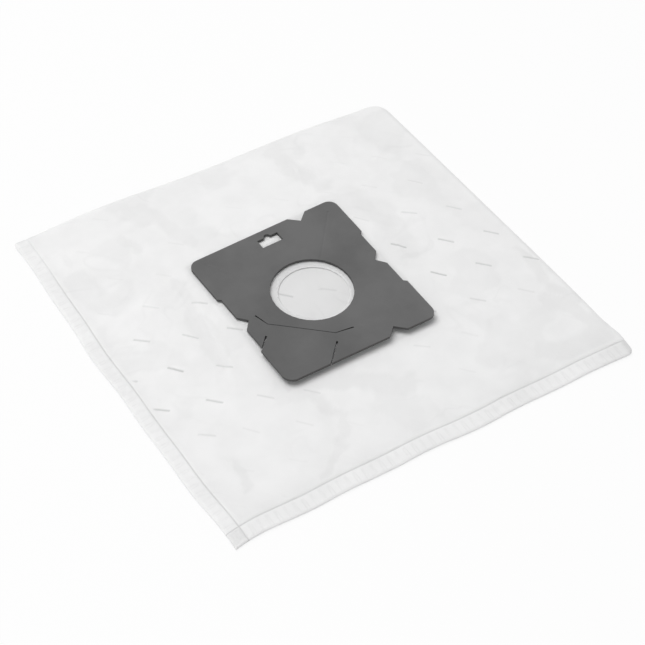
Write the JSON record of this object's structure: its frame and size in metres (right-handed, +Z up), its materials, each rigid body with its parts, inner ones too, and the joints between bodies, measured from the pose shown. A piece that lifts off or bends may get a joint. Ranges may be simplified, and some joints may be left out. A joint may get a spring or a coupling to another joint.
{
  "type": "vacuum dust bag",
  "caption": "Square fleece vacuum cleaner bag lying flat, folded on two sides and welded on two, with a grey notched collar plate glued round its round intake.",
  "frame": {"origin": "on the ground under the middle of the bag's bounding box", "axes": "+Z up out of the front panel, +X along the welded front seam to the right, +Y away from the front seam to the folded back edge"},
  "size_m": [0.282, 0.28, 0.0155],
  "materials": {
    "fleece": "matt white spunbond fleece with sparse embossed dashes",
    "collar_board": "mid-grey die-cut sheet, matt to satin"
  },
  "bodies": {
    "root": {"fleece_bag": "fleece", "collar_plate": "collar_board"}
  },
  "joints": []
}
